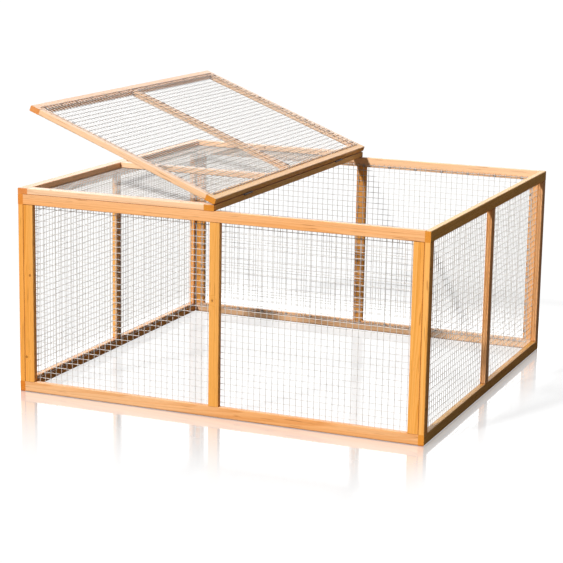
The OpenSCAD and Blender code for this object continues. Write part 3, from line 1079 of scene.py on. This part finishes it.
@dataclass
class PetRun:
    """The whole run: six panels, their hinges and their screws.

    Attributes:
        timber: The timber of every bar.
        mesh: The welded mesh of every panel.
        staples: What holds the mesh to the bars.
    """

    timber: StainedFir
    mesh: WeldedMesh
    staples: BentStaples

    def panels(self) -> list[Panel]:
        """Reads the six panels and chooses the stains of their bars.

        Returns:
            The four walls, the fixed roof and the lid.
        """
        rails = ("bottom_rail", "top_rail")
        cover = ("back_rail", "mid_rail", "front_rail")
        # Paler straw on the top panels is partly painted highlight for their lit tops; deeper gold on the
        # right wall's rails is partly painted shade for that side.
        apricot, honey, gold, straw = StainTone
        front = (apricot, apricot, honey, honey, honey)
        back = (straw, straw, honey, honey, honey)
        left = (honey, honey, honey, honey, honey)
        right = (gold, gold, honey, apricot, apricot)
        flat = (apricot, gold, straw, straw, straw)
        return [
            Panel("front", "run", rails, ("left_stile", "mid_post", "right_stile"), front),
            Panel("back", "run", rails, ("right_stile", "mid_post", "left_stile"), back),
            Panel("left", "run", rails, ("back_stile", "mid_post", "front_stile"), left),
            Panel("right", "run", rails, ("front_stile", "mid_post", "back_stile"), right),
            Panel("roof", "run", ("outer_rail", "hinge_rail"), cover, flat),
            Panel("lid", "lid", ("free_rail", "hinge_rail"), cover[::-1], flat),
        ]

    def build(self) -> None:
        """Dresses the timber and hardware, and makes the wire and the staples."""
        wire, staple, hinge, screw, beech = (part.value.material() for part in SmallPart)
        mesh_tree = self.mesh.tree()
        staple_tree = self.staples.tree()
        for seed, panel in enumerate(self.panels()):
            panel.stain(self.timber)
            self.mesh.make(mesh_tree, panel, seed, wire)
            self.staples.make(staple_tree, panel, staple)
            dress(f"{panel.name}_dowels", beech)
        parts = ("roof_leaf", "lid_leaf", "pin")
        hinges = [f"{end}_hinge_{part}" for end in ("front", "back") for part in parts]
        for node in (*hinges, "roof_hinge_screws", "lid_hinge_screws"):
            dress(node, hinge)
        for node in ("corner_screws", "roof_screws"):
            dress(node, screw)
        log.info("hinges and screws plated")


# ---- The studio ----


@dataclass(frozen=True)
class Lamp:
    """A distant lamp.

    Attributes:
        name: The lamp's name.
        azimuth: Where it stands, seen from above: 0 in front, 90 on the right.
        elevation: Its height above the horizon, in degrees.
        strength: Light on a surface that faces it.
        spread: Its apparent width, in degrees, which softens its shadows.
    """

    name: str
    azimuth: float
    elevation: float
    strength: float
    spread: float


def direction(azimuth: float, elevation: float) -> Vector:
    """Direction from the run to a lamp or the camera.

    Args:
        azimuth: 0 in front of the run, 90 on its right, in degrees.
        elevation: Height above the horizon, in degrees.

    Returns:
        A vector of length 1.
    """
    a = math.radians(azimuth)
    e = math.radians(elevation)
    return Vector((math.sin(a) * math.cos(e), -math.cos(a) * math.cos(e), math.sin(e)))


@dataclass
class Studio:
    """A white floor and sky, a key lamp at the front left, and the camera.

    Attributes:
        azimuth: The camera's place round the run, in degrees.
        elevation: Its height above the horizon, in degrees.
        roll: Its turn about the line of sight, in degrees.
        distance: Distance from the camera to the target.
        target: The point that it looks at.
        lens: Focal length for the sensor's width.
        sensor: Width of the sensor, in millimetres.
        sky: Strength of the sky that lights the run.
        floor_size: Width of the floor.
        paper: Colour of the floor under real light.
        shadow: Share of the floor's look that is real shade.
        glow: Strength of the white in the floor, which the light on it brings up
            to a full white.
        mirror: Share of the floor's look that mirrors the run, at its foot.
        mirror_inside: The same on the ground that the run stands round.
        mirror_reach: How far from its foot the mirror fades out, in metres.
        mirror_fall: How fast it fades, as a power.
        mirror_side: How much sooner it fades beside the run than before it.
        blur: Roughness of that mirror.
        bounce: Colour of the floor for the light that it throws back.
        in_gloss: Colour of the floor in varnish and metal; the faces that are
            turned to it look dark in the photograph.
        lamps: The lamps.
    """

    azimuth: float = 22.62
    elevation: float = 12.305
    roll: float = 1.0
    distance: float = 4.5635
    target: Vector = Vector((-0.0041, -0.0755, 0.245))
    lens: float = 115.58
    sensor: float = 36.0
    sky: float = 0.13
    floor_size: float = 60.0
    paper: str = "#E0E0E0"
    shadow: float = 0.25
    glow: float = 1.12
    mirror: float = 0.92
    mirror_inside: float = 0.13
    mirror_reach: float = 0.52
    mirror_fall: float = 1.6
    mirror_side: float = 4.0
    blur: float = 0.08
    bounce: str = "#746550"
    in_gloss: str = "#393939"
    lamps: tuple[Lamp, ...] = (
        Lamp("key", -22, 37, 4.0, 5),
        Lamp("back_fill", 215, 35, 0.9, 60),
    )

    def camera(self) -> None:
        """Sets the camera at the photograph's place, turn and focal length."""
        data = bpy.data.cameras.new("camera")
        data.sensor_width = self.sensor
        data.lens = self.lens
        data.clip_end = 2 * self.floor_size
        camera = add_object("camera", data)
        back = direction(self.azimuth, self.elevation)
        right = Vector((0, 0, 1)).cross(back).normalized()
        level = Matrix((right, back.cross(right), back)).transposed()
        turn = level @ Matrix.Rotation(math.radians(self.roll), 3, "Z")
        camera.matrix_world = Matrix.Translation(self.target + back * self.distance) @ turn.to_4x4()
        bpy.context.scene.camera = camera

    def light(self) -> None:
        """Hangs the lamps and sets the sky, which the camera sees as plain white."""
        for lamp in self.lamps:
            data = bpy.data.lights.new(lamp.name, "SUN")
            data.energy = lamp.strength
            data.angle = math.radians(lamp.spread)
            towards = direction(lamp.azimuth, lamp.elevation)
            add_object(lamp.name, data).rotation_euler = towards.to_track_quat("Z", "Y").to_euler()
        world = bpy.data.worlds.new("white_sky")
        world.use_nodes = True
        world.node_tree.nodes.clear()
        add = partial(add_node, world.node_tree)
        path = add("ShaderNodeLightPath").outputs
        seen = path["Is Camera Ray"]
        for ray in ("Is Glossy Ray", "Is Transmission Ray"):
            seen = add(MATH, {0: seen, 1: path[ray]}, operation="MAXIMUM")
        dim = add("ShaderNodeBackground", {"Color": linear(WHITE), "Strength": self.sky})
        white = add("ShaderNodeBackground", {"Color": linear(WHITE), "Strength": 1.0})
        mixed = add("ShaderNodeMixShader", {0: seen, 1: dim, 2: white})
        add("ShaderNodeOutputWorld", {"Surface": mixed})
        bpy.context.scene.world = world

    def floor(self) -> None:
        """Lays a white floor that keeps the run's shadow and faintly mirrors it."""
        half = self.floor_size / 2
        corners = [(x * half, y * half, 0) for x, y in ((-1, -1), (1, -1), (1, 1), (-1, 1))]
        mesh = bpy.data.meshes.new("floor")
        mesh.from_pydata(corners, [], [(0, 1, 2, 3)])
        material, add = new_material("white_floor")
        path = add("ShaderNodeLightPath").outputs
        glow = add("ShaderNodeEmission", {"Color": linear(WHITE), "Strength": self.glow})
        lit = add("ShaderNodeBsdfDiffuse", {"Color": linear(self.paper)})
        paper = add("ShaderNodeMixShader", {0: self.shadow, 1: glow, 2: lit})
        gloss = add("ShaderNodeBsdfGlossy", {"Color": linear(WHITE), "Roughness": self.blur})
        polished = add("ShaderNodeMixShader", {0: self.polish(add), 1: paper, 2: gloss})
        dull = add("ShaderNodeBsdfDiffuse", {"Color": linear(self.bounce)})
        grey = add("ShaderNodeEmission", {"Color": linear(self.in_gloss), "Strength": 1.0})
        unseen = add("ShaderNodeMixShader", {0: path["Is Glossy Ray"], 1: dull, 2: grey})
        surface = add("ShaderNodeMixShader", {0: path["Is Camera Ray"], 1: unseen, 2: polished})
        add("ShaderNodeOutputMaterial", {"Surface": surface})
        mesh.materials.append(material)
        add_object("floor", mesh)

    def polish(self, add: Add) -> Node:
        """Share of mirror on the floor, by the distance from the run's foot.

        Args:
            add: Adds a node to the floor's material.

        Returns:
            The node that holds it.
        """
        low, high = (Vector(corner) for corner in CAD_BOX)
        # How far a place lies outside the run's box, which counts for more beside it.
        distance = add("ShaderNodeTexCoord").outputs["Object"]
        for operation, other in (
            ("SUBTRACT", (low + high) / 2), ("ABSOLUTE", Vector()),
            ("SUBTRACT", (high - low) / 2), ("MAXIMUM", Vector()),
            ("MULTIPLY", (self.mirror_side, 1, 1)), ("LENGTH", Vector()),
        ):
            distance = add(VECTOR_MATH, {0: distance, 1: other}, operation=operation)
        near = add(MAP_RANGE, Span(0.0, self.mirror_reach, 1.0, 0.0).of(distance))
        curved = add(MATH, {0: near, 1: self.mirror_fall}, operation="POWER")
        faded = add(MATH, {0: curved, 1: self.mirror}, operation="MULTIPLY")
        off = add(MATH, {0: distance, 1: 0.0}, operation="GREATER_THAN")
        share = add("ShaderNodeMix", {"Factor_Float": off, "A_Float": self.mirror_inside, "B_Float": faded})
        # A polished floor mirrors most at a low look and hardly at all from above.
        slant = add("ShaderNodeLayerWeight").outputs["Facing"]
        return add(MATH, {0: share, 1: slant}, operation="MULTIPLY")

    def build(self) -> None:
        """Clears what Blender starts with, then sets camera, lamps and floor."""
        own = set(frame["nodes"].values()) | set(frame["bodies"].values())
        for leftover in [o for o in bpy.data.objects if o not in own]:
            bpy.data.objects.remove(leftover)
        bpy.context.scene.view_settings.view_transform = "Standard"
        self.camera()
        self.light()
        self.floor()
        log.info("studio ready")


def main() -> None:
    """Builds the studio and the run."""
    logging.basicConfig(level=logging.INFO, format="%(name)s: %(message)s")
    Studio().build()
    PetRun(StainedFir(), WeldedMesh(), BentStaples()).build()


if __name__ == "__main__":
    main()
